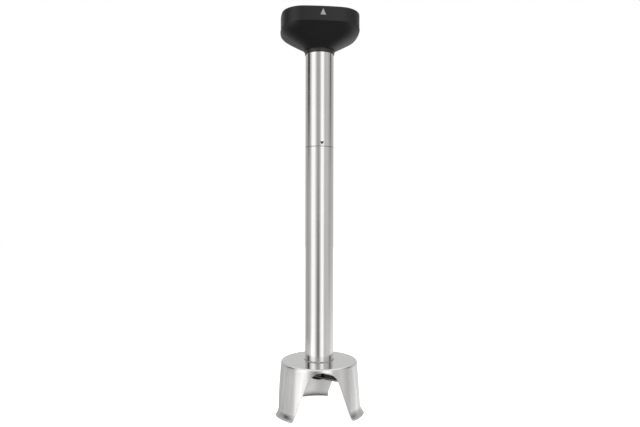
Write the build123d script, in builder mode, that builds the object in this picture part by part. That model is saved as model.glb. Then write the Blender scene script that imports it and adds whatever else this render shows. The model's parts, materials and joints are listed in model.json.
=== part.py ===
"""Detachable blending shaft of a commercial immersion blender: coupling head, tube, spindle, bell guard and blade.

Millimetres. +Z points up to the motor unit. The origin lies on the spindle axis in the plane of the
motor seat, which is the top of the coupling head. The alignment mark and one arch of the guard face -Y.
"""
import math
import os

from build123d import *

os.makedirs("parts", exist_ok=True)

# ---- Driving dimensions ----
TUBE_R = 31.75 / 2            # 1 1/4 inch tube
TUBE_WALL = 1.2
SHAFT_LENGTH = 401.2          # nominal 16 inch reach, from the neck of the head to the feet
HEAD_HEIGHT = 43.3
HEAD_HALF_WIDTH = 43.9
HEAD_HALF_DEPTH = 37.0
BAND_HEIGHT = 16.0            # upright band around the head
HEAD_WALL = 3.0
SOCKET_R = 24.0               # bore that takes the motor spigot
GUARD_HEIGHT = 57.0
GUARD_R = 42.9                # guard wall at its top
GUARD_FOOT_R = 46.4           # guard wall just above the lips
LIP_R = 50.8                  # 4 inch circle over the lips
SHEET = 1.2                   # guard sheet
SPINDLE_R = 4.0
BLADE_REACH = 30.0
FIT = 0.03                    # radial running clearance

# ---- Levels along the axis ----
TUBE_BORE_R = TUBE_R - TUBE_WALL
NECK_Z = -HEAD_HEIGHT
FOOT_Z = NECK_Z - SHAFT_LENGTH
RIM_Z = FOOT_Z + GUARD_HEIGHT
PLATE_Z = RIM_Z + 0.4         # top of the slightly crowned plate, where the tube stands
FLOOR_Z = -21.5               # socket floor
FLOOR_THICK = 3.0
TUBE_TOP_Z = FLOOR_Z - FLOOR_THICK
FLANGE_THICK = 3.0
SEAT_Z = TUBE_TOP_Z - FLANGE_THICK
FERRULE_TOP_Z = -38.8
LEVEL_LINE_Z = -147.7         # fill limit engraved on the tube

# ---- Head: outer form, as (level, half width, half depth, corner radius, front bulge, side bulge) ----
HEAD_SECTIONS = [
    (-BAND_HEIGHT, HEAD_HALF_WIDTH, HEAD_HALF_DEPTH, 25.0, 3.4, 4.4),
    (-20.0, 43.9, 33.7, 23.5, 3.1, 4.1),
    (-24.2, 40.8, 30.2, 21.5, 2.6, 3.4),
    (-28.7, 33.9, 26.4, 19.5, 2.0, 2.5),
    (-33.3, 25.6, 22.4, 17.8, 1.2, 1.5),
    (-36.8, 19.6, 19.0, 16.5, 0.6, 0.7),
    (FERRULE_TOP_Z, 17.7, 17.5, 16.0, 0.4, 0.4),
]


def plan(half_width, half_depth, corner, front_bulge, side_bulge):
    """Rounded rectangle with bulged sides, seen from above."""
    x, y = half_width - side_bulge, half_depth - front_bulge
    with BuildSketch() as sketch:
        with BuildLine():
            ThreePointArc((-x, -y), (0, -half_depth), (x, -y))
            ThreePointArc((x, -y), (half_width, 0), (x, y))
            ThreePointArc((x, y), (0, half_depth), (-x, y))
            ThreePointArc((-x, y), (-half_width, 0), (-x, -y))
        make_face()
        fillet(sketch.vertices(), corner)
    return sketch.sketch


def inner_plan(section, inset):
    """Plan of a section, moved in by the same distance all round."""
    half_width, half_depth, corner, front_bulge, side_bulge = section
    return plan(half_width - inset, half_depth - inset, corner - inset, front_bulge, side_bulge)


def turned_plane(angle):
    """Upright plane through the axis, facing -Y turned by an angle about +Z."""
    a = math.radians(angle)
    return Plane(origin=(0, 0, 0), x_dir=(math.cos(a), math.sin(a), 0), z_dir=(math.sin(a), -math.cos(a), 0))


def save(part, name):
    part.label = name
    export_step(part, f"parts/{name}.step")


# ================= Coupling head =================
DECK_THICK = 3.0
POST_R = 4.2
POST_POINTS = [(31, 21), (-31, 21), (-31, -21), (31, -21)]
DECK_SCREW_R = 1.6
DECK_SCREW_END_Z = -11.5
HEAD_SCREW_PCD_R = 19.3
HEAD_SCREW_R = 2.0
HEAD_SCREW_REACH = 4.3        # thread length in the shell
CASTING_DRAFT = 0.9           # extra wall of the sloping underside
RING_GROOVE = (-32.4, -35.0)  # neck O-ring groove: top and bottom
RING_GROOVE_R = 18.2
TUBE_HOLE_R = TUBE_R + 0.1
RIM_ROUND = 2.2
MARK_WIDTH, MARK_HEIGHT, MARK_BASE_Z = 6.0, 6.7, -10.0
MARK_DEPTH = 0.8

with BuildPart() as shell_cavity:
    with BuildSketch(Plane.XY.offset(0.01)):
        add(inner_plan(HEAD_SECTIONS[0][1:], HEAD_WALL))
    extrude(amount=-BAND_HEIGHT - 0.01)
    for level, *section in HEAD_SECTIONS[:4]:
        slope = min(1, (-BAND_HEIGHT - level) / 4)
        with BuildSketch(Plane.XY.offset(max(level, SEAT_Z))):
            add(inner_plan(section, HEAD_WALL + CASTING_DRAFT * slope))
    loft()
    with BuildSketch(Plane.XY.offset(-DECK_THICK)):
        with Locations(*POST_POINTS):
            Circle(POST_R)
    extrude(amount=SEAT_Z + DECK_THICK - 1, mode=Mode.SUBTRACT)

with BuildPart() as mark_prism:
    with BuildSketch(Plane.XZ.offset(HEAD_HALF_DEPTH - MARK_DEPTH)):
        with BuildLine():
            Polyline((-MARK_WIDTH / 2, MARK_BASE_Z), (MARK_WIDTH / 2, MARK_BASE_Z),
                     (0, MARK_BASE_Z + MARK_HEIGHT), close=True)
        make_face()
    extrude(amount=MARK_DEPTH + 0.02)

with BuildPart() as coupling_shell:
    with BuildSketch(Plane.XY.offset(-BAND_HEIGHT)):
        add(plan(*HEAD_SECTIONS[0][1:]))
    extrude(amount=BAND_HEIGHT)
    fillet(coupling_shell.edges().group_by(Axis.Z)[-1], RIM_ROUND)
    for level, *section in HEAD_SECTIONS:
        with BuildSketch(Plane.XY.offset(level)):
            add(plan(*section))
    loft()
    add(shell_cavity.part, mode=Mode.SUBTRACT)
    # bore for the tube, with the groove of the neck O-ring
    with BuildSketch(Plane.XZ):
        with BuildLine():
            Polyline((0, 1), (TUBE_HOLE_R, 1), (TUBE_HOLE_R, RING_GROOVE[0]), (RING_GROOVE_R, RING_GROOVE[0]),
                     (RING_GROOVE_R, RING_GROOVE[1]), (TUBE_HOLE_R, RING_GROOVE[1]), (TUBE_HOLE_R, NECK_Z),
                     (0, NECK_Z), close=True)
        make_face()
    revolve(axis=Axis.Z, mode=Mode.SUBTRACT)
    with Locations(*[(x, y, -DECK_THICK) for x, y in POST_POINTS]):
        Hole(radius=DECK_SCREW_R, depth=12)
    with PolarLocations(HEAD_SCREW_PCD_R, 4, start_angle=45):
        with Locations((0, 0, SEAT_Z)):
            Hole(radius=HEAD_SCREW_R, depth=HEAD_SCREW_REACH + 0.3)
    add(mark_prism.part, mode=Mode.SUBTRACT)
save(coupling_shell.part, "coupling_shell")

save(mark_prism.part, "alignment_mark")

DECK_HEAD_R = 3.2

# Deck with the motor socket: a flat plate, the socket cup below it and its floor
SOCKET_WALL = 1.8
SOCKET_LOW_R = 23.4           # bore below the spigot
RING_HEIGHT = 8.0             # locking ring, let into the socket wall
RING_TOP_Z = -6.0
RING_R = SOCKET_R + 0.3       # outside of the hoop
HUB_HOLE_R = 12.0
GASKET_R = SOCKET_R + 4.5
GASKET_HALF = 1.2
GASKET_DEPTH = 1.6
DECK_GAP = 0.15

with BuildPart() as socket_deck:
    with BuildSketch(Plane.XY):
        add(inner_plan(HEAD_SECTIONS[0][1:], HEAD_WALL + DECK_GAP))
    extrude(amount=-DECK_THICK)
    with BuildSketch(Plane.XY):
        Circle(SOCKET_R + SOCKET_WALL)
    extrude(amount=TUBE_TOP_Z)
    with BuildSketch(Plane.XY):
        Circle(SOCKET_R)
    extrude(amount=RING_TOP_Z, mode=Mode.SUBTRACT)
    with BuildSketch(Plane.XY.offset(RING_TOP_Z)):
        Circle(SOCKET_LOW_R)
    extrude(amount=FLOOR_Z - RING_TOP_Z, mode=Mode.SUBTRACT)
    with BuildSketch(Plane.XY.offset(RING_TOP_Z)):
        Circle(RING_R)
    extrude(amount=-RING_HEIGHT, mode=Mode.SUBTRACT)
    with BuildSketch(Plane.XY.offset(FLOOR_Z)):
        Circle(HUB_HOLE_R)
        with PolarLocations(HEAD_SCREW_PCD_R, 4, start_angle=45):
            Circle(HEAD_SCREW_R)
    extrude(amount=-FLOOR_THICK, mode=Mode.SUBTRACT)
    with BuildSketch(Plane.XY):      # gasket groove
        Circle(GASKET_R + GASKET_HALF)
        Circle(GASKET_R - GASKET_HALF, mode=Mode.SUBTRACT)
    extrude(amount=-GASKET_DEPTH, mode=Mode.SUBTRACT)
    with Locations(*[(x, y, 0) for x, y in POST_POINTS]):
        CounterSinkHole(radius=DECK_SCREW_R, counter_sink_radius=DECK_HEAD_R, depth=DECK_THICK)
save(socket_deck.part, "socket_deck")

with BuildPart() as deck_screws:
    for x, y in POST_POINTS:
        with BuildSketch(Plane.XY.offset(DECK_SCREW_END_Z)):
            with Locations((x, y)):
                Circle(DECK_SCREW_R)
        extrude(amount=-DECK_SCREW_END_Z - DECK_SCREW_R)
        with BuildSketch(Plane.XY.offset(-DECK_SCREW_R)):
            with Locations((x, y)):
                Circle(DECK_SCREW_R)
        with BuildSketch(Plane.XY):
            with Locations((x, y)):
                Circle(DECK_HEAD_R)
        loft()
        with BuildSketch(Plane.XY):
            with Locations((x, y)):
                Rectangle(3.4, 0.8)
                Rectangle(0.8, 3.4)
        extrude(amount=-1.2, mode=Mode.SUBTRACT)
save(deck_screws.part, "deck_screws")

with BuildPart() as seat_gasket:
    with BuildSketch(Plane.XY.offset(-GASKET_DEPTH)):
        Circle(GASKET_R + GASKET_HALF)
        Circle(GASKET_R - GASKET_HALF, mode=Mode.SUBTRACT)
    extrude(amount=GASKET_DEPTH - DECK_GAP)
    fillet(seat_gasket.edges().group_by(Axis.Z)[-1], 0.7)
save(seat_gasket.part, "seat_gasket")

LUG_DEPTH = 2.0               # how far each bayonet lug reaches in from the hoop
LUG_ANGLE = 62.0
LUG_HEIGHT = 2.5
with BuildPart() as lock_ring:
    with BuildSketch(Plane.XY.offset(RING_TOP_Z)):
        Circle(RING_R)
        Circle(SOCKET_LOW_R, mode=Mode.SUBTRACT)
    extrude(amount=-RING_HEIGHT)
    for turn in range(3):
        with BuildSketch(Plane.XY.offset(RING_TOP_Z).rotated((0, 0, 120 * turn - 90))):
            with BuildLine():
                half = LUG_ANGLE / 2
                CenterArc((0, 0), RING_R - 0.2, -half, LUG_ANGLE)
                CenterArc((0, 0), SOCKET_LOW_R - LUG_DEPTH, -half, LUG_ANGLE)
                for side in (-half, half):
                    Line(PolarLine((0, 0), RING_R - 0.2, side, mode=Mode.PRIVATE) @ 1,
                         PolarLine((0, 0), SOCKET_LOW_R - LUG_DEPTH, side, mode=Mode.PRIVATE) @ 1)
            make_face()
        extrude(amount=-LUG_HEIGHT)
    chamfer(lock_ring.edges().filter_by(Axis.Z).sort_by(SortBy.DISTANCE)[:6], 0.5)
save(lock_ring.part, "lock_ring")

FLANGE_R = 23.0
with BuildPart() as head_flange:
    with BuildSketch(Plane.XY.offset(TUBE_TOP_Z)):
        Circle(FLANGE_R)
        Circle(TUBE_R, mode=Mode.SUBTRACT)
        with PolarLocations(HEAD_SCREW_PCD_R, 4, start_angle=45):
            Circle(HEAD_SCREW_R, mode=Mode.SUBTRACT)
    extrude(amount=-FLANGE_THICK)
    chamfer(head_flange.edges().filter_by(GeomType.CIRCLE).sort_by(Edge.length)[-2:], 0.4)
save(head_flange.part, "head_flange")

SCREW_HEAD_R, SCREW_HEAD_HEIGHT = 3.5, 2.4
HEX_SOCKET_R, HEX_SOCKET_DEPTH = 1.5, 1.6
with BuildPart() as head_screws:
    with PolarLocations(HEAD_SCREW_PCD_R, 4, start_angle=45):
        with Locations((0, 0, SEAT_Z - HEAD_SCREW_REACH)):
            Cylinder(HEAD_SCREW_R, FLOOR_Z - SEAT_Z + HEAD_SCREW_REACH,
                     align=(Align.CENTER, Align.CENTER, Align.MIN))
        with Locations((0, 0, FLOOR_Z)):
            Cylinder(SCREW_HEAD_R, SCREW_HEAD_HEIGHT, align=(Align.CENTER, Align.CENTER, Align.MIN))
    fillet(head_screws.edges().group_by(Axis.Z)[-1], 0.8)
    with BuildSketch(Plane.XY.offset(FLOOR_Z + SCREW_HEAD_HEIGHT)):
        with PolarLocations(HEAD_SCREW_PCD_R, 4, start_angle=45):
            RegularPolygon(HEX_SOCKET_R, 6)
    extrude(amount=-HEX_SOCKET_DEPTH, mode=Mode.SUBTRACT)
save(head_screws.part, "head_screws")

O_RING_R = 1.15
with BuildPart() as neck_o_ring:
    with BuildSketch(Plane.XZ):
        with Locations((TUBE_R + O_RING_R, sum(RING_GROOVE) / 2)):
            Circle(O_RING_R)
    revolve(axis=Axis.Z)
save(neck_o_ring.part, "neck_o_ring")

FERRULE_WALL = 0.75
with BuildPart() as neck_ferrule:
    with BuildSketch(Plane.XY.offset(NECK_Z)):
        Circle(TUBE_R + FERRULE_WALL)
        Circle(TUBE_R, mode=Mode.SUBTRACT)
    extrude(amount=FERRULE_TOP_Z - NECK_Z)
    fillet(neck_ferrule.edges().group_by(Axis.Z)[0].sort_by(Edge.length)[-1:], 0.4)
save(neck_ferrule.part, "neck_ferrule")

# ================= Tube =================
LEVEL_GROOVE_DEPTH, LEVEL_GROOVE_HEIGHT = 0.12, 0.7
with BuildPart() as outer_tube:
    with BuildSketch(Plane.XY.offset(PLATE_Z)):
        Circle(TUBE_R)
        Circle(TUBE_BORE_R, mode=Mode.SUBTRACT)
    extrude(amount=TUBE_TOP_Z - PLATE_Z)
    with BuildSketch(Plane.XZ):      # engraved fill limit
        with Locations((TUBE_R, LEVEL_LINE_Z)):
            Rectangle(2 * LEVEL_GROOVE_DEPTH, LEVEL_GROOVE_HEIGHT)
    revolve(axis=Axis.Z, mode=Mode.SUBTRACT)
save(outer_tube.part, "outer_tube")

# ================= Upper bearing =================
BEARING_R = 11.0              # 608 size: 8 x 22 x 7
BEARING_WIDTH = 7.0
BEARING_TOP_Z = TUBE_TOP_Z - 2.0
BEARING_MID_Z = BEARING_TOP_Z - BEARING_WIDTH / 2
BALL_R = 3.969 / 2
PITCH_R = 7.5
BALLS = 7
RACE_R = BALL_R + 0.06
INNER_LAND_R = 5.8
OUTER_LAND_R = 9.2
CLIP_THICK = 1.0
HOUSING_END_Z = -44.0
HOUSING_BORE_R = 9.4

with BuildPart() as bearing_housing:
    with BuildSketch(Plane.XZ):
        with BuildLine():
            Polyline((BEARING_R, TUBE_TOP_Z), (TUBE_BORE_R, TUBE_TOP_Z), (TUBE_BORE_R, HOUSING_END_Z), (HOUSING_BORE_R, HOUSING_END_Z),
                     (HOUSING_BORE_R, BEARING_TOP_Z - BEARING_WIDTH), (BEARING_R, BEARING_TOP_Z - BEARING_WIDTH),
                     (BEARING_R, BEARING_TOP_Z), (BEARING_R + 0.6, BEARING_TOP_Z),
                     (BEARING_R + 0.6, BEARING_TOP_Z + CLIP_THICK), (BEARING_R, BEARING_TOP_Z + CLIP_THICK),
                     close=True)
        make_face()
    revolve(axis=Axis.Z)
save(bearing_housing.part, "bearing_housing")

with BuildPart() as bearing_outer_ring:
    with BuildSketch(Plane.XZ):
        with Locations(((BEARING_R + OUTER_LAND_R) / 2, BEARING_MID_Z)):
            Rectangle(BEARING_R - OUTER_LAND_R, BEARING_WIDTH)
        with Locations((PITCH_R, BEARING_MID_Z)):
            Circle(RACE_R, mode=Mode.SUBTRACT)
    revolve(axis=Axis.Z)
save(bearing_outer_ring.part, "bearing_outer_ring")

with BuildPart() as bearing_inner_ring:
    with BuildSketch(Plane.XZ):
        with Locations(((SPINDLE_R + INNER_LAND_R) / 2, BEARING_MID_Z)):
            Rectangle(INNER_LAND_R - SPINDLE_R, BEARING_WIDTH)
        with Locations((PITCH_R, BEARING_MID_Z)):
            Circle(RACE_R, mode=Mode.SUBTRACT)
    revolve(axis=Axis.Z)
save(bearing_inner_ring.part, "bearing_inner_ring")

with BuildPart() as bearing_balls:
    with PolarLocations(PITCH_R, BALLS):
        with Locations((0, 0, BEARING_MID_Z)):
            Sphere(BALL_R)
save(bearing_balls.part, "bearing_balls")

CAGE_INNER_R, CAGE_OUTER_R = 6.7, 8.3
CAGE_HALF_HEIGHT = 1.3
CROWN_DEPTH = 1.0             # solid rim below the ball pockets
POCKET_R = BALL_R + 0.08
with BuildPart() as bearing_cage:
    with BuildSketch(Plane.XY.offset(BEARING_MID_Z - CAGE_HALF_HEIGHT)):
        Circle(CAGE_OUTER_R)
        Circle(CAGE_INNER_R, mode=Mode.SUBTRACT)
    extrude(amount=2 * CAGE_HALF_HEIGHT)
    with PolarLocations(PITCH_R, BALLS):
        with Locations((0, 0, BEARING_MID_Z)):
            Cylinder(POCKET_R, 4 * CAGE_HALF_HEIGHT, mode=Mode.SUBTRACT)
    with BuildSketch(Plane.XY.offset(BEARING_MID_Z - CAGE_HALF_HEIGHT - CROWN_DEPTH)):
        Circle(CAGE_OUTER_R)
        Circle(CAGE_INNER_R, mode=Mode.SUBTRACT)
    extrude(amount=CROWN_DEPTH + 0.1)
    with PolarLocations(PITCH_R, BALLS):
        with Locations((0, 0, BEARING_MID_Z)):
            Sphere(POCKET_R, mode=Mode.SUBTRACT)
save(bearing_cage.part, "bearing_cage")

SHIELD_THICK, SHIELD_INSET = 0.35, 0.2
with BuildPart() as bearing_shields:
    for level in (BEARING_TOP_Z - SHIELD_INSET - SHIELD_THICK, BEARING_TOP_Z - BEARING_WIDTH + SHIELD_INSET):
        with BuildSketch(Plane.XY.offset(level)):
            Circle(OUTER_LAND_R)
            Circle(INNER_LAND_R + 0.2, mode=Mode.SUBTRACT)
        extrude(amount=SHIELD_THICK)
save(bearing_shields.part, "bearing_shields")


def open_ring(inner, outer, level, gap_angle):
    """Flat snap ring with a gap at its back."""
    with BuildPart() as ring:
        with BuildSketch(Plane.XY.offset(level)):
            Circle(outer)
            Circle(inner, mode=Mode.SUBTRACT)
            reach = outer * 2
            half = math.radians(gap_angle / 2)
            with BuildLine():
                Polyline((0, 0), (reach * math.sin(half), reach * math.cos(half)),
                         (-reach * math.sin(half), reach * math.cos(half)), close=True)
            make_face(mode=Mode.SUBTRACT)
        extrude(amount=CLIP_THICK)
    return ring.part


BEARING_CLIP_BORE_R, BEARING_CLIP_GAP = 9.9, 40
SPINDLE_CLIP_R, SPINDLE_CLIP_GAP = 5.5, 50
SPINDLE_GROOVE = 0.35         # depth of the spindle's circlip groove
save(open_ring(BEARING_CLIP_BORE_R, BEARING_R + 0.55, BEARING_TOP_Z, BEARING_CLIP_GAP), "bearing_circlip")
save(open_ring(SPINDLE_R - SPINDLE_GROOVE, SPINDLE_CLIP_R, BEARING_TOP_Z - BEARING_WIDTH - CLIP_THICK,
               SPINDLE_CLIP_GAP), "spindle_circlip")

# ================= Spindle and drive hub =================
SPINDLE_TOP_Z = -16.0
HUB_R = 9.6
HUB_SLEEVE_R = 5.6
HUB_TOP_Z = -6.5
HUB_BODY_Z = FLOOR_Z + 0.6
DRIVE_ROOT_R, DRIVE_LOBE_R, DRIVE_LOBES, DRIVE_DEPTH = 5.0, 1.5, 6, 8.0
FLUTE_R, FLUTES = 0.7, 12
PIN_R = 1.25
PIN_Z = (BEARING_TOP_Z + HUB_BODY_Z) / 2 - 0.2
BLADE_SEAT_Z = RIM_Z - 17.6
STUB_R = 3.0
STUB_END_Z = BLADE_SEAT_Z - 4.4

with BuildPart() as drive_spindle:
    with BuildSketch(Plane.XZ):
        with BuildLine():
            groove_z = BEARING_TOP_Z - BEARING_WIDTH
            Polyline((0, SPINDLE_TOP_Z), (SPINDLE_R - 0.5, SPINDLE_TOP_Z), (SPINDLE_R, SPINDLE_TOP_Z - 0.5),
                     (SPINDLE_R, groove_z), (SPINDLE_R - SPINDLE_GROOVE, groove_z),
                     (SPINDLE_R - SPINDLE_GROOVE, groove_z - CLIP_THICK), (SPINDLE_R, groove_z - CLIP_THICK),
                     (SPINDLE_R, BLADE_SEAT_Z), (STUB_R, BLADE_SEAT_Z), (STUB_R, STUB_END_Z + 0.5),
                     (STUB_R - 0.5, STUB_END_Z), (0, STUB_END_Z), close=True)
        make_face()
    revolve(axis=Axis.Z)
    with Locations(Plane.YZ.offset(-10)):
        with Locations((0, PIN_Z)):
            Cylinder(PIN_R, 20, align=(Align.CENTER, Align.CENTER, Align.MIN), mode=Mode.SUBTRACT)
save(drive_spindle.part, "drive_spindle")

with BuildPart() as drive_hub:
    with BuildSketch(Plane.XZ):
        with BuildLine():
            Polyline((SPINDLE_R, BEARING_TOP_Z), (HUB_SLEEVE_R, BEARING_TOP_Z), (HUB_SLEEVE_R, HUB_BODY_Z),
                     (HUB_R, HUB_BODY_Z), (HUB_R, HUB_TOP_Z), (0, HUB_TOP_Z), (0, SPINDLE_TOP_Z),
                     (SPINDLE_R, SPINDLE_TOP_Z), close=True)
        make_face()
    revolve(axis=Axis.Z)
    fillet(drive_hub.edges().group_by(Axis.Z)[-1], 0.8)
    with BuildSketch(Plane.XY.offset(HUB_TOP_Z)):        # six-lobed drive recess
        Circle(DRIVE_ROOT_R)
        with PolarLocations(DRIVE_ROOT_R, DRIVE_LOBES):
            Circle(DRIVE_LOBE_R)
    extrude(amount=-DRIVE_DEPTH, mode=Mode.SUBTRACT)
    with PolarLocations(HUB_R, FLUTES):                  # flutes around the rim
        with Locations((0, 0, HUB_BODY_Z)):
            Cylinder(FLUTE_R, HUB_TOP_Z - HUB_BODY_Z + 1, align=(Align.CENTER, Align.CENTER, Align.MIN),
                     mode=Mode.SUBTRACT)
    with Locations(Plane.YZ.offset(-10)):
        with Locations((0, PIN_Z)):
            Cylinder(PIN_R, 20, align=(Align.CENTER, Align.CENTER, Align.MIN), mode=Mode.SUBTRACT)
save(drive_hub.part, "drive_hub")

with BuildPart() as hub_pin:
    with BuildSketch(Plane.YZ.offset(-HUB_SLEEVE_R)):
        with Locations((0, PIN_Z)):
            Circle(PIN_R)
    extrude(amount=2 * HUB_SLEEVE_R)
    chamfer(hub_pin.edges().filter_by(GeomType.CIRCLE), 0.3)
save(hub_pin.part, "hub_pin")

GUIDE_LEVELS = [-160.0, -275.0]
GUIDE_THICK = 12.0
GUIDE_HOLE_R, GUIDE_HOLES, GUIDE_PCD_R = 2.6, 5, 9.6
with BuildPart() as spindle_guides:
    for level in GUIDE_LEVELS:
        with BuildSketch(Plane.XY.offset(level)):
            Circle(TUBE_BORE_R)
            Circle(SPINDLE_R + FIT, mode=Mode.SUBTRACT)
            with PolarLocations(GUIDE_PCD_R, GUIDE_HOLES):
                Circle(GUIDE_HOLE_R, mode=Mode.SUBTRACT)
        extrude(amount=-GUIDE_THICK)
save(spindle_guides.part, "spindle_guides")

# ================= Lower bearing, seal and guard =================
NOSE_R = 10.0
NOSE_END_Z = RIM_Z - 8.3
BUSH_R = 7.0
BUSH_END_Z = RIM_Z + 4.7
BUSH_LENGTH = 20.0
HOUSING_TOP_Z = BUSH_END_Z + 24.0
SEAL_R = 8.0
SEAL_TOP_Z = RIM_Z - 0.3
SEAL_SHOULDER_R = 5.2

with BuildPart() as seal_housing:
    with BuildSketch(Plane.XZ):
        with BuildLine():
            Polyline((BUSH_R, HOUSING_TOP_Z), (TUBE_BORE_R, HOUSING_TOP_Z), (TUBE_BORE_R, PLATE_Z),
                     (NOSE_R, PLATE_Z), (NOSE_R, NOSE_END_Z), (SEAL_R, NOSE_END_Z), (SEAL_R, SEAL_TOP_Z),
                     (SEAL_SHOULDER_R, SEAL_TOP_Z), (SEAL_SHOULDER_R, BUSH_END_Z), (BUSH_R, BUSH_END_Z), close=True)
        make_face()
    revolve(axis=Axis.Z)
save(seal_housing.part, "seal_housing")

with BuildPart() as lower_bush:
    with BuildSketch(Plane.XY.offset(BUSH_END_Z)):
        Circle(BUSH_R)
        Circle(SPINDLE_R + FIT, mode=Mode.SUBTRACT)
    extrude(amount=BUSH_LENGTH)
    chamfer(lower_bush.edges().group_by(Axis.Z)[-1], 0.4)
save(lower_bush.part, "lower_bush")

SPRING_R = 0.6
SPRING_PLACE = (5.9, NOSE_END_Z + 2.6)
SEAL_LIP_R = SPINDLE_R + 0.05
with BuildPart() as shaft_seal:
    with BuildSketch(Plane.XZ):
        with BuildLine():
            Polyline((SEAL_R, SEAL_TOP_Z), (SEAL_R, NOSE_END_Z), (5.4, NOSE_END_Z), (SEAL_LIP_R, NOSE_END_Z + 1.4),
                     (SEAL_LIP_R, NOSE_END_Z + 2.2), (4.7, NOSE_END_Z + 3.4), (5.0, SEAL_TOP_Z), close=True)
        make_face()
        with Locations(SPRING_PLACE):
            Circle(SPRING_R, mode=Mode.SUBTRACT)
    revolve(axis=Axis.Z)
save(shaft_seal.part, "shaft_seal")

with BuildPart() as seal_spring:
    with BuildSketch(Plane.XZ):
        with Locations(SPRING_PLACE):
            Circle(SPRING_R)
    revolve(axis=Axis.Z)
save(seal_spring.part, "seal_spring")

CAP_SHEET = 0.8
CAP_TOP_Z = RIM_Z - 1.5
CAP_HOLE_R = 5.6
with BuildPart() as seal_cap:
    with BuildSketch(Plane.XZ):
        with BuildLine():
            Polyline((NOSE_R, CAP_TOP_Z), (NOSE_R + CAP_SHEET, CAP_TOP_Z), (NOSE_R + CAP_SHEET, NOSE_END_Z - CAP_SHEET),
                     (CAP_HOLE_R, NOSE_END_Z - CAP_SHEET), (CAP_HOLE_R, NOSE_END_Z), (NOSE_R, NOSE_END_Z), close=True)
        make_face()
    revolve(axis=Axis.Z)
    fillet(seal_cap.edges().group_by(Axis.Z)[0].sort_by(Edge.length)[-1:], 0.6)
save(seal_cap.part, "seal_cap")

ARCH_TOP_Z = RIM_Z - 3.3
ARCH_R = 18.4
ARCH_SPLAY = math.radians(19.7)      # lean of each arch side from upright
LEG_CORNER_R = 6.0
LIP_SWEEP = math.radians(54.0)       # turn of the lip out of the wall
LIP_BEND_R = (LIP_R - GUARD_FOOT_R) / (1 - math.cos(LIP_SWEEP))
LIP_START_Z = FOOT_Z + LIP_BEND_R * math.sin(LIP_SWEEP)
LIP_SPARE = 8.0                      # extra turn in degrees, cut off level at the feet
RIM_BEND_R = 2.4
PLATE_FLAT_R = 18.0

with BuildPart() as bell_guard:
    with BuildSketch(Plane.XZ):
        with BuildLine():
            FilletPolyline((NOSE_R, PLATE_Z), (PLATE_FLAT_R, PLATE_Z), (GUARD_R, RIM_Z), (GUARD_FOOT_R, LIP_START_Z),
                           radius=[30.0, RIM_BEND_R])
            JernArc(start=(GUARD_FOOT_R, LIP_START_Z),
                    tangent=(GUARD_FOOT_R - GUARD_R, LIP_START_Z - RIM_Z),
                    radius=LIP_BEND_R, arc_size=math.degrees(LIP_SWEEP) + LIP_SPARE)
            offset(amount=SHEET, side=Side.RIGHT)
        make_face()
    revolve(axis=Axis.Z)
    split(bisect_by=Plane.XY.offset(FOOT_Z), keep=Keep.TOP)
    arch_centre_z = ARCH_TOP_Z - ARCH_R
    tangent_x = ARCH_R * math.cos(ARCH_SPLAY)
    tangent_z = arch_centre_z + ARCH_R * math.sin(ARCH_SPLAY)
    foot_x = tangent_x + (tangent_z - FOOT_Z) * math.tan(ARCH_SPLAY)
    with BuildSketch(*[turned_plane(angle) for angle in (0, 120, 240)]) as arches:
        with BuildLine():
            ThreePointArc((-tangent_x, tangent_z), (0, ARCH_TOP_Z), (tangent_x, tangent_z))
            Polyline((tangent_x, tangent_z), (foot_x, FOOT_Z), (foot_x + 12, FOOT_Z), (foot_x + 12, FOOT_Z - 4),
                     (-foot_x - 12, FOOT_Z - 4), (-foot_x - 12, FOOT_Z), (-foot_x, FOOT_Z),
                     (-tangent_x, tangent_z))
        make_face()
        fillet([v for v in arches.vertices() if abs(abs(v.X) - foot_x) < 0.01], LEG_CORNER_R)
    extrude(amount=LIP_R + 10, mode=Mode.SUBTRACT)
save(bell_guard.part, "bell_guard")

BEAD = 1.0
with BuildPart() as guard_weld:
    with BuildSketch(Plane.XZ):
        with BuildLine():
            Line((TUBE_R, PLATE_Z), (TUBE_R + BEAD, PLATE_Z))
            ThreePointArc((TUBE_R + BEAD, PLATE_Z), (TUBE_R + 0.42 * BEAD, PLATE_Z + 0.42 * BEAD),
                          (TUBE_R, PLATE_Z + BEAD))
            Line((TUBE_R, PLATE_Z + BEAD), (TUBE_R, PLATE_Z))
        make_face()
    revolve(axis=Axis.Z)
save(guard_weld.part, "guard_weld")

# ================= Blade =================
BLADE_THICK = 1.8
BLADE_WIDTH = 13.0
BLADE_ANGLE = math.radians(-36.0)    # drooped wing, counted from +X about +Z
WING_DROP = 1.6
BLADE_FLAT = 9.6
TIP_STEP = 5.0                # length of the ground corner at each tip
TIP_BACK, TIP_FRONT = 4.4, 1.5
along = (math.cos(BLADE_ANGLE), math.sin(BLADE_ANGLE), 0)
blade_side = Plane(origin=(0, 0, BLADE_SEAT_Z), x_dir=along, z_dir=(along[1], -along[0], 0))
blade_below = Plane(origin=(0, 0, BLADE_SEAT_Z - 20), x_dir=along, z_dir=(0, 0, 1))

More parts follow.
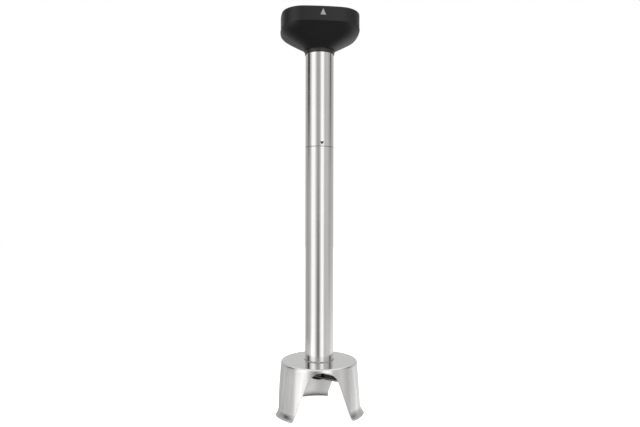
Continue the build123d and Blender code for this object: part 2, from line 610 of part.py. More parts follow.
with BuildPart() as blade:
    with BuildSketch(blade_side):
        with BuildLine():
            Polyline((-BLADE_REACH, WING_DROP), (-BLADE_FLAT, 0), (BLADE_FLAT, 0), (BLADE_REACH, -WING_DROP),
                     (BLADE_REACH, -WING_DROP - BLADE_THICK), (BLADE_FLAT, -BLADE_THICK),
                     (-BLADE_FLAT, -BLADE_THICK), (-BLADE_REACH, WING_DROP - BLADE_THICK), close=True)
        make_face()
    extrude(amount=BLADE_WIDTH / 2, both=True)
    with BuildSketch(blade_below):
        with BuildLine():
            half = BLADE_WIDTH / 2
            Polyline((-BLADE_REACH, -TIP_FRONT), (-BLADE_REACH + TIP_STEP, -half + 0.6), (-BLADE_FLAT, -half),
                     (BLADE_FLAT, -half), (BLADE_REACH, -TIP_BACK), (BLADE_REACH, TIP_FRONT),
                     (BLADE_REACH - TIP_STEP, half - 0.6), (BLADE_FLAT, half), (-BLADE_FLAT, half),
                     (-BLADE_REACH, TIP_BACK), close=True)
        make_face()
        Circle(STUB_R, mode=Mode.SUBTRACT)
    extrude(amount=40, mode=Mode.INTERSECT)
save(blade.part, "blade")

COLLAR_R, HUB_NECK_R = 9.4, 6.6
COLLAR_TOP_Z = NOSE_END_Z - 1.4
COLLAR_THICK = 1.8
with BuildPart() as blade_hub:
    with BuildSketch(Plane.XZ):
        with BuildLine():
            Polyline((SPINDLE_R, COLLAR_TOP_Z), (COLLAR_R, COLLAR_TOP_Z), (COLLAR_R, COLLAR_TOP_Z - COLLAR_THICK),
                     (HUB_NECK_R, COLLAR_TOP_Z - COLLAR_THICK - 1.4), (HUB_NECK_R, BLADE_SEAT_Z),
                     (SPINDLE_R, BLADE_SEAT_Z), close=True)
        make_face()
    revolve(axis=Axis.Z)
save(blade_hub.part, "blade_hub")

WASHER_THICK = 0.5
WASHER_R = 9.2
with BuildPart() as blade_washer:
    with BuildSketch(Plane.XY.offset(BLADE_SEAT_Z - BLADE_THICK)):
        Circle(WASHER_R)
        Circle(STUB_R, mode=Mode.SUBTRACT)
    extrude(amount=-WASHER_THICK)
save(blade_washer.part, "blade_washer")

NUT_HALF_WIDTH, NUT_THICK = 4.5, 1.8
with BuildPart() as blade_nut:
    with BuildSketch(Plane.XY.offset(BLADE_SEAT_Z - BLADE_THICK - WASHER_THICK)):
        RegularPolygon(NUT_HALF_WIDTH, 6, major_radius=False)
        Circle(STUB_R, mode=Mode.SUBTRACT)
    extrude(amount=-NUT_THICK)
    chamfer(blade_nut.faces().sort_by(Axis.Z)[0].outer_wire().edges(), 0.4)
save(blade_nut.part, "blade_nut")
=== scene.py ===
import json
import math

import bmesh
import bpy
from mathutils import Matrix, Vector


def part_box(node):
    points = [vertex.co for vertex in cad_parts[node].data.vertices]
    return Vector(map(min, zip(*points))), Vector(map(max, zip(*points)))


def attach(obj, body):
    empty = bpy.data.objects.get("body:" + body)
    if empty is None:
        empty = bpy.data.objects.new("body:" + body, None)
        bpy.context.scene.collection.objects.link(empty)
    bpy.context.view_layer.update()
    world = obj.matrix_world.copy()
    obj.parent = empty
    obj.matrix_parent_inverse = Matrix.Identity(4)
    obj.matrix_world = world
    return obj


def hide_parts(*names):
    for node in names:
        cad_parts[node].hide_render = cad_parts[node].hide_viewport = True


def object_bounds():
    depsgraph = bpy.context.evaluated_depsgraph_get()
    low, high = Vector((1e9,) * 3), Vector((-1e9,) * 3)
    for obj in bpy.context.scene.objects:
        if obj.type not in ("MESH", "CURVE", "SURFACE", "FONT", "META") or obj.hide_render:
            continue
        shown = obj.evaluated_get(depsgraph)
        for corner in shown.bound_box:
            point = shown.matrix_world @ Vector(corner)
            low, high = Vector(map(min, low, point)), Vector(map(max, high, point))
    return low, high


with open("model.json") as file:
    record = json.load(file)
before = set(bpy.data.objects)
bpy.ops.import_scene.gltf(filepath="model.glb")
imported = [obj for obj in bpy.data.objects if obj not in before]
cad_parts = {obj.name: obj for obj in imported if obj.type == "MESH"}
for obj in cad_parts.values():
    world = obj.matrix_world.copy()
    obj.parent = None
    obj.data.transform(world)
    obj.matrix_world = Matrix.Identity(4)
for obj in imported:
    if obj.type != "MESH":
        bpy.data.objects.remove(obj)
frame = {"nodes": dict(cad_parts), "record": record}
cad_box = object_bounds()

MM = 0.001
nodes = frame["nodes"]

# ---- Levels and radii, read from the frame ----
FOOT_Z = cad_box[0].z
tube_low, tube_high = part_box("outer_tube")
TUBE_R = tube_high.x
TUBE_WALL = 1.2 * MM
PLATE_Z = tube_low.z
PLATE_DISH = 0.4 * MM                # fall of the guard's plate from its middle to its rim
RIM_Z = PLATE_Z - PLATE_DISH
NECK_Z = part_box("neck_ferrule")[0].z
FILL_LINE_DROP = 104.4 * MM          # from the neck down to the fill line
FILL_LINE_Z = NECK_Z - FILL_LINE_DROP

# ---- Camera ----
VIEW_DISTANCE = 0.629
FOCAL_OVER_WIDTH = 0.8679
VIEW_AZIMUTH = math.radians(-6)
VIEW_HEIGHT = (cad_box[0].z + cad_box[1].z) / 2
VIEW_ROLL = math.radians(0.11)
VIEW_SHIFT = 0.0011
SENSOR_WIDTH = 36.0
toward_camera = Vector((math.sin(VIEW_AZIMUTH), -math.cos(VIEW_AZIMUTH), 0))
to_the_right = Vector((math.cos(VIEW_AZIMUTH), math.sin(VIEW_AZIMUTH), 0))


def make_camera():
    data = bpy.data.cameras.new("view")
    data.sensor_width = SENSOR_WIDTH
    data.lens = data.sensor_width * FOCAL_OVER_WIDTH
    data.shift_x = VIEW_SHIFT
    camera = bpy.data.objects.new("view", data)
    bpy.context.scene.collection.objects.link(camera)
    stand = toward_camera * VIEW_DISTANCE + Vector((0, 0, VIEW_HEIGHT))
    turn = Matrix.Rotation(VIEW_AZIMUTH, 4, "Z") @ Matrix.Rotation(math.pi / 2, 4, "X")
    camera.matrix_world = Matrix.Translation(stand) @ turn @ Matrix.Rotation(VIEW_ROLL, 4, "Z")
    bpy.context.scene.camera = camera


# ---- Shader expressions ----
class Wire:
    """A value on its way through a node tree. Operators on it add the maths nodes."""

    def __init__(self, tree, socket=None):
        self.tree, self.socket = tree, socket

    def node(self, kind, settings=None, inputs=None, output=0):
        """Any node: its settings are set first, then its sockets are given numbers or wires."""
        made = self.tree.nodes.new(kind)
        for name, value in (settings or {}).items():
            setattr(made, name, value)
        for name, value in (inputs or {}).items():
            if isinstance(value, Wire):
                self.tree.links.new(value.socket, made.inputs[name])
            else:
                made.inputs[name].default_value = value
        return Wire(self.tree, made.outputs[output])

    def math(self, operation, *values):
        return self.node("ShaderNodeMath", {"operation": operation}, dict(enumerate(values)))

    def __add__(self, other):
        return self.math("ADD", self, other)

    def __radd__(self, other):
        return self.math("ADD", other, self)

    def __sub__(self, other):
        return self.math("SUBTRACT", self, other)

    def __rsub__(self, other):
        return self.math("SUBTRACT", other, self)

    def __mul__(self, other):
        return self.math("MULTIPLY", self, other)

    def __rmul__(self, other):
        return self.math("MULTIPLY", other, self)

    def __truediv__(self, other):
        return self.math("DIVIDE", self, other)

    def __rtruediv__(self, other):
        return self.math("DIVIDE", other, self)

    def __pow__(self, other):
        return self.math("POWER", self, other)

    def __neg__(self):
        return self.math("MULTIPLY", self, -1.0)

    def __abs__(self):
        return self.math("ABSOLUTE", self)

    def clamped(self):
        return self.node("ShaderNodeClamp", None, {0: self})

    def step(self, low, high):
        """0 below low, 1 above high, smooth between."""
        settings = {"interpolation_type": "SMOOTHSTEP"}
        return self.node("ShaderNodeMapRange", settings, {0: self, 1: low, 2: high})

    def hump(self, centre, width, power=2.0):
        """1 at the centre, falling away over the width. A higher power gives a flatter top."""
        return self.math("EXPONENT", -(abs((self - centre) / width) ** power))

    def stretched(self, x, y, z):
        """The same position, scaled along each axis."""
        return self.node("ShaderNodeVectorMath", {"operation": "MULTIPLY"}, {0: self, 1: (x, y, z)})

    def noise(self, scale, detail=2.0, roughness=0.5):
        return self.node("ShaderNodeTexNoise", None,
                         {"Vector": self, "Scale": scale, "Detail": detail, "Roughness": roughness})

    def parts(self):
        split = self.node("ShaderNodeSeparateXYZ", None, {0: self})
        return [Wire(self.tree, socket) for socket in split.socket.node.outputs]

    def between(self, first, second):
        """A colour from first, where this is 0, to second, where it is 1."""
        return self.node("ShaderNodeMix", {"data_type": "RGBA"}, {0: self, 6: first, 7: second}, output=2)


class Finish(Wire):
    """One material: position is the point on the piece, in metres."""

    def __init__(self, name):
        self.material = bpy.data.materials.new(name)
        self.material.use_nodes = True
        super().__init__(self.material.node_tree)
        self.shader = self.tree.nodes["Principled BSDF"]
        self.position = self.node("ShaderNodeTexCoord", output="Object")
        self.x, self.y, self.z = self.position.parts()

    def radius(self):
        return (self.x * self.x + self.y * self.y) ** 0.5

    def set(self, **sockets):
        """Sets the shader's sockets; an underscore stands for a space in a socket's name."""
        for name, value in sockets.items():
            socket = self.shader.inputs[name.replace("_", " ")]
            if isinstance(value, Wire):
                self.tree.links.new(value.socket, socket)
            else:
                socket.default_value = value
        return self

    def relief(self, height, depth, strength=1.0):
        """Bump from a height between 0 and 1, depth in metres."""
        bump = self.node("ShaderNodeBump", None, {"Strength": strength, "Distance": depth, "Height": height})
        return self.set(Normal=bump)


def grey(level, warmth=0.0):
    return (level * (1 + warmth), level, level * (1 - warmth), 1)


# ---- Finishes ----
# Noise scales are per metre, depths of relief in metres
RUB_LOW, RUB_HIGH = -3 * MM, -0.6 * MM      # levels between which the head's top is rubbed by the motor unit
ENGRAVED_REACH = 0.4 * MM                   # half the height of the darkened band at the fill line
FOOT_WEAR = 9 * MM                          # height of the scratched part of the guard's feet
WALL_TOP = 6 * MM                           # the wall's draw marks fade out this far below the rim
CEILING_SHADE_LOW = 22 * MM                       # painted shade: the inside is painted darker from here, below the rim, up to WALL_TOP
WELD_RIPPLES = 90
BLADE_TURN = math.radians(36)               # run of the grinding lines about the spindle
TIP_START, TIP_END = 23 * MM, 29 * MM       # radii over which the blade's painted shade gives way to its bright steel


def moulded_polymer():
    """Satin black moulding: fine spark-eroded grain, faint rubbing at the motor seat."""
    f = Finish("moulded_polymer")
    grain = f.position.noise(2600, 3, 0.6)
    cloud = f.position.noise(45, 3)
    rubbed = f.z.step(RUB_LOW, RUB_HIGH) * f.position.noise(400, 4).step(0.42, 0.62)
    scuffs = f.position.stretched(1, 1, 7).noise(240, 5, 0.7).step(0.66, 0.74)
    colour = (cloud * 0.6 + rubbed * 0.5 + scuffs * 0.25).clamped().between(grey(0.006), grey(0.014, 0.02))
    f.set(Base_Color=colour, Roughness=0.34 + grain * 0.12 + cloud * 0.06 - rubbed * 0.1)
    f.shader.inputs["IOR"].default_value = 1.46
    return f.relief(grain, 0.02 * MM, 0.6)


def mark_polymer():
    """Light grey inlay, slightly soiled in patches."""
    f = Finish("mark_polymer")
    soil = f.position.noise(900, 4, 0.6)
    f.set(Base_Color=soil.step(0.35, 0.7).between(grey(0.42, 0.01), grey(0.55, 0.01)),
          Roughness=0.38 + soil * 0.2)
    return f.relief(f.position.noise(3000), 0.01 * MM, 0.4)


def black_rubber():
    f = Finish("black_rubber")
    bloom = f.position.noise(350, 4, 0.6)
    f.set(Base_Color=bloom.step(0.4, 0.75).between(grey(0.012), grey(0.03, 0.03)),
          Roughness=0.62 + bloom * 0.2)
    return f.relief(f.position.noise(2200, 3), 0.015 * MM, 0.6)


def drive_polymer():
    """Glass-filled drive socket: pale fibres just show in the black."""
    f = Finish("drive_polymer")
    fibres = f.position.stretched(1, 1, 0.2).noise(3200, 4, 0.7).step(0.62, 0.72)
    f.set(Base_Color=fibres.between(grey(0.02), grey(0.07)), Roughness=0.3 + fibres * 0.2)
    return f.relief(fibres, 0.01 * MM, 0.4)


def natural_acetal():
    f = Finish("natural_acetal")
    cloud = f.position.noise(160, 3)
    f.set(Base_Color=cloud.between(grey(0.72, 0.04), grey(0.8, 0.02)), Roughness=0.35 + cloud * 0.15)
    return f.relief(f.radius().math("PINGPONG", f.radius(), 0.3 * MM) * 3000, 0.01 * MM, 0.3)


def polished_tube():
    """Steel tube polished lengthwise: long hairlines, a soft haze and the odd fingermark."""
    f = Finish("polished_tube")
    hairs = f.position.stretched(1, 1, 0.012).noise(2600, 3, 0.65)
    streaks = f.position.stretched(1, 1, 0.03).noise(420, 3)
    haze = f.position.noise(38, 4, 0.6).step(0.4, 0.75)
    engraved = (f.z - FILL_LINE_Z).hump(0, ENGRAVED_REACH, 6)
    steel = (streaks * 0.7 + haze * 0.3).between(grey(0.68, 0.012), grey(0.79, 0.012))
    f.set(Base_Color=(engraved * 0.75).between(steel, grey(0.12)), Metallic=1.0,
          Roughness=0.07 + hairs * 0.07 + streaks * 0.05 + haze * 0.05 + engraved * 0.3)
    return f.relief(hairs * 0.6 + streaks * 0.4, 0.012 * MM, 0.35)


def drawn_sheet():
    """Outside of the drawn guard: polished, with faint upright draw marks and scratches at the feet."""
    f = Finish("drawn_sheet")
    rings = f.position.stretched(0.05, 0.05, 1).noise(2400, 3, 0.6)
    draw_marks = f.position.stretched(1, 1, 0.06).noise(115, 3, 0.55)
    uneven = f.position.stretched(1, 1, 0.35).noise(58, 2)
    cloud = f.position.noise(120, 4, 0.6)
    feet = 1 - f.z.step(FOOT_Z, FOOT_Z + FOOT_WEAR)
    wall = 1 - f.z.step(RIM_Z - WALL_TOP, RIM_Z)
    scratches = f.position.stretched(1, 1, 0.15).noise(1500, 5, 0.75).step(0.6, 0.7)
    shade = (draw_marks.step(0.3, 0.7) * 0.7 * wall + cloud * 0.2 + scratches * 0.2).clamped()
    worn_feet = feet * (0.08 + scratches * 0.15)
    f.set(Base_Color=shade.between(grey(0.80, 0.01), grey(0.60, 0.01)), Metallic=1.0,
          Roughness=0.1 + rings * 0.05 + cloud * 0.06 + draw_marks * wall * 0.1 + worn_feet)
    return f.relief(rings * 0.02 + uneven * 0.6 + draw_marks * wall * 0.3, 0.3 * MM, 0.6)


def sheet_inside():
    """Inside of the drawn guard: left dull from the press, greyed, and darkened up under the plate by
    painted shade.
    """
    f = Finish("sheet_inside")
    draw_marks = f.position.stretched(1, 1, 0.1).noise(260, 4, 0.6)
    cloud = f.position.noise(90, 4, 0.6)
    # painted shade: mask that darkens the inside wall towards the plate, where the bell's ceiling lies in
    # shade
    ceiling = f.z.step(RIM_Z - CEILING_SHADE_LOW, RIM_Z - WALL_TOP)
    steel = (draw_marks * 0.5 + cloud * 0.5).between(grey(0.72, 0.012), grey(0.52, 0.012))
    f.set(Base_Color=(ceiling * 0.6).between(steel, grey(0.16, 0.02)), Metallic=1.0,
          Roughness=0.36 + cloud * 0.14 + draw_marks * 0.08)
    return f.relief(draw_marks, 0.05 * MM, 0.5)


def weld_bead():
    """Small bead run round the tube, brushed back, with a straw tint in its ripples."""
    f = Finish("weld_bead")
    turn = f.y.math("ARCTAN2", f.y, f.x)
    ripples = turn.math("SINE", turn * WELD_RIPPLES) * 0.5 + 0.5
    tint = f.position.noise(300, 3)
    f.set(Base_Color=tint.step(0.4, 0.7).between((0.33, 0.30, 0.26, 1), (0.5, 0.48, 0.45, 1)), Metallic=1.0,
          Roughness=0.3 + tint * 0.15)
    return f.relief(ripples, 0.08 * MM, 0.7)


def turned_steel():
    """Machined faces: fine concentric tool marks on the ends and along the sides."""
    f = Finish("turned_steel")
    marks = f.node("ShaderNodeCombineXYZ", None, {0: f.radius(), 2: f.z * 0.8}).noise(7000, 2, 0.5)
    cloud = f.position.noise(220, 3)
    f.set(Base_Color=cloud.between(grey(0.5, 0.01), grey(0.6, 0.01)), Metallic=1.0,
          Roughness=0.2 + marks * 0.14 + cloud * 0.05)
    return f.relief(marks, 0.01 * MM, 0.5)


def bearing_steel():
    """Ground and lapped, with a thin film of grease."""
    f = Finish("bearing_steel")
    film = f.position.noise(700, 3)
    f.set(Base_Color=film.between(grey(0.54, -0.01), grey(0.62, -0.01)), Metallic=1.0,
          Roughness=0.1 + film * 0.12)
    return f.relief(f.position.noise(5000, 2), 0.004 * MM, 0.4)


def sintered_bronze():
    f = Finish("sintered_bronze")
    pores = f.position.noise(4200, 3, 0.6).step(0.56, 0.64)
    oil = f.position.noise(260, 3)
    colour = (pores * 0.8 + oil * 0.3).clamped().between((0.52, 0.33, 0.13, 1), (0.2, 0.12, 0.05, 1))
    f.set(Base_Color=colour, Metallic=1.0, Roughness=0.34 + pores * 0.3)
    return f.relief(1 - pores, 0.03 * MM, 0.6)


def neck_painted_reflection():
    """Collar under the head, coloured brown-black as a painted reflection of the head's black underside,
    with gloss that varies in blotches.
    """
    f = Finish("neck_painted_reflection")
    bloom = f.position.noise(500, 4, 0.6)
    # painted reflection: a brown-black colour stands in for the head reflected in the collar
    f.set(Base_Color=bloom.step(0.4, 0.75).between((0.026, 0.021, 0.017, 1), (0.045, 0.038, 0.03, 1)),
          Roughness=0.3 + bloom * 0.18)
    return f.relief(f.position.noise(2000, 3), 0.012 * MM, 0.5)


def blade_clamp_steel():
    """Hardened pieces that clamp the blade, painted near-black as painted shade under the bell, with lighter
    worn specks at random.
    """
    f = Finish("blade_clamp_steel")
    scale = f.position.noise(700, 4, 0.6)
    worn = f.position.noise(2400, 3, 0.7).step(0.6, 0.7)
    # painted shade: the near-black base colour stands in for the shade under the bell
    f.set(Base_Color=worn.between(grey(0.085, 0.02), grey(0.3, 0.01)), Metallic=1.0,
          Roughness=0.2 + scale * 0.16)
    return f.relief(scale, 0.012 * MM, 0.5)


def fastener_steel():
    f = Finish("fastener_steel")
    roll = f.position.stretched(1, 1, 0.2).noise(3000, 3, 0.6)
    cloud = f.position.noise(500, 4)
    f.set(Base_Color=cloud.between(grey(0.42), grey(0.56, 0.01)), Metallic=1.0, Roughness=0.26 + roll * 0.18)
    return f.relief(roll, 0.01 * MM, 0.5)


def ground_blade():
    """Hardened blade, painted dark as painted shade under the bell, its own bright steel at the tips, with
    grinding lines across it.
    """
    f = Finish("ground_blade")
    turned = f.node("ShaderNodeMapping", None, {0: f.position, 2: (0, 0, BLADE_TURN)})
    lines = turned.stretched(1, 0.03, 1).noise(3600, 3, 0.65)
    nicks = f.position.noise(900, 5, 0.7).step(0.64, 0.72)
    # painted shade: the blade is painted dark inside TIP_START and goes to bright steel by TIP_END
    out_of_painted_shade = f.radius().step(TIP_START, TIP_END)
    steel = (lines * 0.6 + nicks * 0.4).clamped().between(grey(0.13, 0.01), grey(0.22, 0.01))
    f.set(Base_Color=(out_of_painted_shade * 0.8).between(steel, grey(0.6, 0.01)), Metallic=1.0,
          Roughness=0.17 + lines * 0.16 + nicks * 0.1)
    return f.relief(lines, 0.015 * MM, 0.5)


def engraving_black():
    """Oxide left in the engraved fill mark."""
    f = Finish("engraving_black")
    worn = f.position.noise(1600, 4, 0.7)
    f.set(Base_Color=worn.step(0.35, 0.75).between(grey(0.035), grey(0.12)), Metallic=0.3,
          Roughness=0.5 + worn * 0.2)
    return f.relief(worn, 0.01 * MM, 0.4)


def pale_floor():
    f = Finish("pale_floor")
    speck = f.position.noise(90, 3)
    f.set(Base_Color=speck.between(grey(0.86), grey(0.9)), Roughness=0.9)
    f.shader.inputs["Emission Color"].default_value = (1, 1, 1, 1)
    f.shader.inputs["Emission Strength"].default_value = 0.8
    return f


FINISH_OF_SLOT = {
    "black_polymer": moulded_polymer, "mark_polymer": mark_polymer, "black_rubber": black_rubber,
    "drive_polymer": drive_polymer, "guide_polymer": natural_acetal, "polished_steel": polished_tube,
    "drawn_steel": drawn_sheet, "turned_steel": turned_steel, "bearing_steel": bearing_steel,
    "bronze": sintered_bronze, "fastener_steel": fastener_steel, "blade_steel": ground_blade,
}
finishes = {slot: make().material for slot, make in FINISH_OF_SLOT.items()}


def dress_frame():
    """Gives every CAD node the finish of its slot."""
    for part in frame["record"]["subparts"]:
        mesh = nodes[part["node"]].data
        mesh.materials.clear()
        mesh.materials.append(finishes[part["material_slot"]])
    # painted reflection: the neck ferrule gets a brown-black finish
    own_finish = {"guard_weld": weld_bead(), "neck_ferrule": neck_painted_reflection()}
    # painted shade: the hub, washer and nut get the near-black clamp finish
    clamp = blade_clamp_steel()
    own_finish.update({"blade_hub": clamp, "blade_washer": clamp, "blade_nut": clamp})
    for node, finish in own_finish.items():
        nodes[node].data.materials.clear()
        nodes[node].data.materials.append(finish.material)


# ---- New pieces ----
def new_piece(name, bm, finish, body="shaft_body", smooth_below=35):
    """Makes a bmesh an object of the assembly."""
    mesh = bpy.data.meshes.new(name)
    bm.to_mesh(mesh)
    bm.free()
    mesh.materials.append(finish)
    mesh.shade_smooth()
    mesh.set_sharp_from_angle(angle=math.radians(smooth_below))
    piece = bpy.data.objects.new(name, mesh)
    bpy.context.scene.collection.objects.link(piece)
    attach(piece, body)
    return piece


def spun(profile, steps):
    """A closed outline of (radius, level) points turned about the axis."""
    bm = bmesh.new()
    ring = [bm.verts.new((radius, 0, level)) for radius, level in profile]
    edges = [bm.edges.new((a, b)) for a, b in zip(ring, ring[1:] + ring[:1])]
    bmesh.ops.spin(bm, geom=ring + edges, cent=(0, 0, 0), axis=(0, 0, 1), angle=math.tau, steps=steps,
                   use_merge=True)
    bmesh.ops.remove_doubles(bm, verts=bm.verts, dist=1e-6)
    bmesh.ops.recalc_face_normals(bm, faces=bm.faces)
    return bm


GROOVE_HALF, GROOVE_DEPTH = 0.35 * MM, 0.12 * MM     # engraved fill line
GROOVE_STEPS = 8
TUBE_STEPS = 160


def make_tube():
    """Tube with its engraved fill line, a shallow round-bottomed groove."""
    half = GROOVE_HALF
    groove = [(TUBE_R - GROOVE_DEPTH * math.sin(t) ** 0.5, FILL_LINE_Z - half * math.cos(t))
              for t in [math.pi * i / GROOVE_STEPS for i in range(GROOVE_STEPS + 1)]]
    lead = [(TUBE_R, FILL_LINE_Z - 1.5 * half), *groove, (TUBE_R, FILL_LINE_Z + 1.5 * half)]
    inner = TUBE_R - TUBE_WALL
    top = tube_high.z
    bm = spun([(TUBE_R, PLATE_Z), *lead, (TUBE_R, top), (inner, top), (inner, PLATE_Z)], TUBE_STEPS)
    tube = new_piece("polished_outer_tube", bm, finishes["polished_steel"],
                     smooth_below=25)
    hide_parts("outer_tube")


# Guard outline, as in the CAD model
GUARD_R, GUARD_FOOT_R, LIP_R = 42.9 * MM, 46.4 * MM, 50.8 * MM
SHEET = 1.2 * MM
RIM_BEND_R = 2.4 * MM
LIP_SWEEP = math.radians(54)
LIP_BEND_R = (LIP_R - GUARD_FOOT_R) / (1 - math.cos(LIP_SWEEP))
LIP_START_Z = FOOT_Z + LIP_BEND_R * math.sin(LIP_SWEEP)
WALL_LEAN = math.atan2(GUARD_FOOT_R - GUARD_R, RIM_Z - LIP_START_Z)
NOSE_R = 10 * MM
ARCH_TOP_Z = RIM_Z - 3.3 * MM
ARCH_R = 18.4 * MM
ARCH_SPLAY = math.radians(19.7)
LEG_CORNER_R = 6 * MM
ARCH_SIDE_X = ARCH_R * math.cos(ARCH_SPLAY)
ARCH_SIDE_Z = ARCH_TOP_Z - ARCH_R + ARCH_R * math.sin(ARCH_SPLAY)
ARCH_FOOT_X = ARCH_SIDE_X + (ARCH_SIDE_Z - FOOT_Z) * math.tan(ARCH_SPLAY)
CORNER_X = ARCH_FOOT_X + LEG_CORNER_R * (1 - math.sin(ARCH_SPLAY)) / math.cos(ARCH_SPLAY)
CORNER_TOP_Z = FOOT_Z + LEG_CORNER_R * (1 - math.sin(ARCH_SPLAY))
LEGS = 3
COLUMNS = 66
PLATE_FLAT_R = 18 * MM              # the plate is level inside this radius
RIM_ROW_DROP = 2.7 * MM             # first row below the rim bend
INSIDE_TOP = 3 * MM                 # below this, under the rim, the inside wall begins
EDGE_BREAK = 0.3 * MM


def arch_half_width(z):
    """Half the width of an arch at a level; nothing above its crown."""
    if z >= ARCH_TOP_Z:
        return 0.0
    if z > ARCH_SIDE_Z:
        return math.sqrt(max(ARCH_R ** 2 - (z - ARCH_TOP_Z + ARCH_R) ** 2, 0.0))
    if z > CORNER_TOP_Z:
        return ARCH_SIDE_X + (ARCH_SIDE_Z - z) * math.tan(ARCH_SPLAY)
    return CORNER_X - math.sqrt(max(LEG_CORNER_R ** 2 - (z - FOOT_Z - LEG_CORNER_R) ** 2, 0.0))


def wall_radius(z):
    """Outside radius of the guard below its rim."""
    if z > LIP_START_Z:
        return GUARD_R + (RIM_Z - z) * math.tan(WALL_LEAN)
    sweep = math.asin((LIP_START_Z - z) / LIP_BEND_R)
    return GUARD_FOOT_R + LIP_BEND_R * (1 - math.cos(sweep)) + (LIP_START_Z - z) * math.tan(WALL_LEAN) * 0.5


def steps_between(first, last, count):
    return [first + (last - first) * i / count for i in range(count)]


def guard_rows():
    """(radius, level) of each row of the sheet, from the hole in its plate to its feet."""
    bend_x = RIM_BEND_R * math.tan((math.pi / 2 - WALL_LEAN) / 2)
    rows = [(r, PLATE_Z) for r in steps_between(NOSE_R, PLATE_FLAT_R, 3)]
    rows += [(r, PLATE_Z - PLATE_DISH * (r - PLATE_FLAT_R) / (GUARD_R - PLATE_FLAT_R))
             for r in steps_between(PLATE_FLAT_R, GUARD_R - bend_x, 8)]
    centre = (GUARD_R - bend_x, RIM_Z + 0.04 * MM - RIM_BEND_R)
    rows += [(centre[0] + RIM_BEND_R * math.sin(t), centre[1] + RIM_BEND_R * math.cos(t))
             for t in steps_between(0.0, math.pi / 2 - WALL_LEAN, 9)]
    arc = [ARCH_TOP_Z - ARCH_R * (1 - math.cos(t)) for t in steps_between(0.0, math.pi / 2 - ARCH_SPLAY, 22)]
    side = steps_between(ARCH_SIDE_Z, CORNER_TOP_Z, 26)
    corner = [FOOT_Z + LEG_CORNER_R * (1 - math.sin(t)) for t in steps_between(ARCH_SPLAY, math.pi / 2, 12)]
    below = [RIM_Z - RIM_ROW_DROP, *arc, *side, *corner, FOOT_Z, FOOT_Z - 0.5 * SHEET, FOOT_Z - 1.2 * SHEET]
    return rows + [(wall_radius(z), z) for z in below]


def make_guard():
    """Sheet of three legs side by side, each a grid that narrows as the arches beside it widen."""
    rows = guard_rows()
    bm = bmesh.new()
    for leg in range(LEGS):
        grid = bmesh.ops.create_grid(bm, x_segments=COLUMNS, y_segments=len(rows) - 1, size=0.5)
        middle = (leg + 0.5) * math.tau / LEGS
        for vert in grid["verts"]:
            radius, level = rows[round((vert.co.y + 0.5) * (len(rows) - 1))]
            arch_angle = math.asin(min(arch_half_width(level) / radius, 1.0))
            angle = middle + vert.co.x * (math.tau / LEGS - 2 * arch_angle)
            vert.co = (radius * math.sin(angle), -radius * math.cos(angle), level)
    bmesh.ops.remove_doubles(bm, verts=bm.verts, dist=1e-6)
    bmesh.ops.recalc_face_normals(bm, faces=bm.faces)
    top = max(bm.faces, key=lambda face: face.calc_center_median().z)
    if top.normal.z < 0:
        bmesh.ops.reverse_faces(bm, faces=bm.faces)
    bmesh.ops.solidify(bm, geom=bm.verts[:] + bm.edges[:] + bm.faces[:], thickness=SHEET)
    bmesh.ops.bisect_plane(bm, geom=bm.verts[:] + bm.edges[:] + bm.faces[:], dist=1e-7, clear_inner=True,
                           plane_co=(0, 0, FOOT_Z), plane_no=(0, 0, 1))
    bmesh.ops.holes_fill(bm, edges=[edge for edge in bm.edges if edge.is_boundary], sides=0)
    for face in bm.faces:
        middle = face.calc_center_median()
        outward = face.normal.dot(Vector((middle.x, middle.y, 0)).normalized())
        inside_wall = outward < 0.5 and middle.z < RIM_Z - INSIDE_TOP
        ceiling = face.normal.z < -0.7 and middle.z > RIM_Z - INSIDE_TOP
        face.material_index = int(inside_wall or ceiling)
    guard = new_piece("drawn_bell_guard", bm, finishes["drawn_steel"], smooth_below=50)
    guard.data.materials.append(sheet_inside().material)
    edge = guard.modifiers.new("broken_edge", "BEVEL")
    edge.width = EDGE_BREAK
    edge.segments = 3
    edge.limit_method = "ANGLE"
    edge.angle_limit = math.radians(50)
    edge.harden_normals = True
    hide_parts("bell_guard")


MARK_ANGLE = math.radians(4.1)      # middle of the fill mark, from -Y towards +X
MARK_WIDTH, MARK_HEIGHT = 5.0 * MM, 3.6 * MM
MARK_TIP_Z = FILL_LINE_Z + 1.6 * MM
MARK_CUTS = 10                      # upright cuts that let the mark follow the tube
MARK_STAND_OFF = 0.015 * MM


def make_fill_mark():
    """Small plain pointer over the fill line, its tip down, wrapped on the tube."""
    bm = bmesh.new()
    corners = [(-0.5 * MARK_WIDTH, MARK_HEIGHT, 0), (0, 0, 0), (0.5 * MARK_WIDTH, MARK_HEIGHT, 0)]
    bm.faces.new([bm.verts.new(corner) for corner in corners])
    for cut in range(1, MARK_CUTS):
        bmesh.ops.bisect_plane(bm, geom=bm.verts[:] + bm.edges[:] + bm.faces[:], dist=1e-7,
                               plane_co=((cut / MARK_CUTS - 0.5) * MARK_WIDTH, 0, 0), plane_no=(1, 0, 0))
    radius = TUBE_R + MARK_STAND_OFF
    for vert in bm.verts:
        angle = MARK_ANGLE + vert.co.x / TUBE_R
        vert.co = (radius * math.sin(angle), -radius * math.cos(angle), MARK_TIP_Z + vert.co.y)
    bmesh.ops.recalc_face_normals(bm, faces=bm.faces)
    if bm.faces[0].normal.y > 0:
        bmesh.ops.reverse_faces(bm, faces=bm.faces[:])
    new_piece("fill_mark", bm, engraving_black().material)


# ---- Studio ----
# Places in the surround, in degrees: turn from the camera towards its right, width, and flatness of top
LEFT_PANEL = (-50, 21, 4)
RIGHT_PANEL = (24, 15, 4)
FRONT_GAP = (-8, 9)
RIGHT_SIDE = (66, 20)
LEFT_SHADE = (-108, 20)
RIGHT_SHADE = (92, 20)
HIGH_LEFT_FLAG = (-97, 12, 4)
HIGH_RIGHT_FLAG = (103, 10, 4)
RIGHT_LOW_GLOW, LOW_GLOW_RISE = (118, 38), (-28, 16)


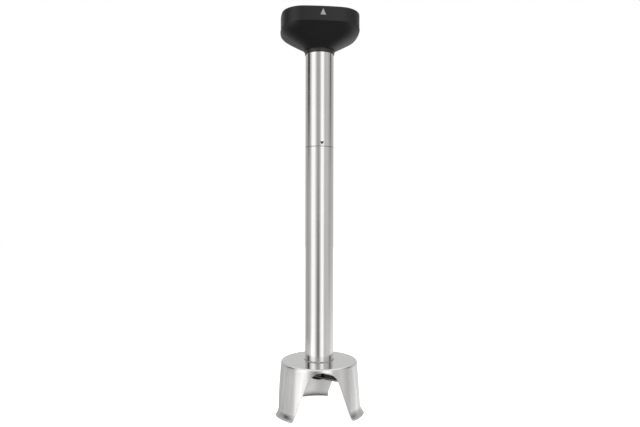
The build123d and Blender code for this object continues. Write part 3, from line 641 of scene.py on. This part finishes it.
def studio_light():
    """Soft surround: two tall panels in front, a dim gap between them, quiet sides, a paler back."""
    world = bpy.data.worlds.new("studio")
    world.use_nodes = True
    tree = world.node_tree
    start = Wire(tree)
    direction = start.node("ShaderNodeTexCoord", output="Generated")
    x, y, z = direction.parts()
    front = x * toward_camera.x + y * toward_camera.y
    side = x * to_the_right.x + y * to_the_right.y
    turn = side.math("ARCTAN2", side, front) * (180 / math.pi)
    rise = z.math("ARCSINE", z) * (180 / math.pi)
    high = rise.step(2, 15)
    gap = turn.hump(*FRONT_GAP) * (0.42 - 0.3 * rise.step(-16, 12))
    level = 0.56 + 0.78 * turn.hump(*LEFT_PANEL) + 0.77 * turn.hump(*RIGHT_PANEL) - gap
    level = level + 0.09 * abs(turn).step(125, 172) + 0.12 * turn.hump(*RIGHT_SIDE)
    level = level - 0.12 * (turn.hump(*LEFT_SHADE) + turn.hump(*RIGHT_SHADE))
    level = level * (1 - high * turn.hump(*HIGH_LEFT_FLAG)) * (1 - 0.72 * high * turn.hump(*HIGH_RIGHT_FLAG))
    below = (-rise).step(18, 55)
    above = rise.step(25, 60)
    level = level * (1 - below) * (1 - above) + 0.2 * below + 1.0 * above
    level = level + 0.9 * turn.hump(*RIGHT_LOW_GLOW) * rise.hump(*LOW_GLOW_RISE)
    seen = start.node("ShaderNodeLightPath", output="Is Camera Ray")
    level = level * (1 - seen) + seen
    background = tree.nodes["Background"]
    background.inputs["Color"].default_value = (1, 1, 1, 1)
    tree.links.new(level.socket, background.inputs["Strength"])
    bpy.context.scene.world = world
    bpy.context.scene.view_settings.view_transform = "Standard"


def soft_card(name, place, facing, width, height, radiance):
    """A dim, even panel of light that the camera does not see directly; radiance sets its brightness."""
    data = bpy.data.lights.new(name, "AREA")
    data.shape = "RECTANGLE"
    data.size = width
    data.size_y = height
    data.energy = radiance * math.pi * width * height
    card = bpy.data.objects.new(name, data)
    bpy.context.scene.collection.objects.link(card)
    turn = Vector(facing).to_track_quat("-Z", "Y").to_matrix().to_4x4()
    card.matrix_world = Matrix.Translation(place) @ turn
    card.visible_camera = False


CARD_DROP = 43 * MM                  # middle of the left card below the feet
CARD_LEFT, CARD_FORWARD = 0.34, 0.05
CARD_WIDTH, CARD_HEIGHT, CARD_RADIANCE = 0.5, 0.085, 0.22
GLOW_LIFT = 0.4 * MM                 # keeps the glow just clear of the floor
GLOW_SIDE, GLOW_RADIANCE = 0.09, 0.35


def make_cards():
    """A card low on the left that shows in the guard's wall, and light from the floor under the guard."""
    middle = Vector((0, 0, FOOT_Z - CARD_DROP))
    place = middle - to_the_right * CARD_LEFT + toward_camera * CARD_FORWARD
    soft_card("left_card", place, to_the_right, CARD_WIDTH, CARD_HEIGHT, CARD_RADIANCE)
    under = Vector((0, 0, FOOT_Z + GLOW_LIFT))
    soft_card("table_glow", under, (0, 0, 1), GLOW_SIDE, GLOW_SIDE, GLOW_RADIANCE)


FLOOR_HALF = 3


def make_floor():
    bm = bmesh.new()
    bmesh.ops.create_grid(bm, x_segments=2, y_segments=2, size=FLOOR_HALF)
    bmesh.ops.translate(bm, verts=bm.verts, vec=(0, 0, FOOT_Z))
    mesh = bpy.data.meshes.new("floor")
    bm.to_mesh(mesh)
    bm.free()
    mesh.materials.append(pale_floor().material)
    floor = bpy.data.objects.new("floor", mesh)
    bpy.context.scene.collection.objects.link(floor)
    floor.visible_glossy = False
    floor.visible_diffuse = False


make_camera()
studio_light()
make_floor()
make_cards()
dress_frame()
make_tube()
make_guard()
make_fill_mark()
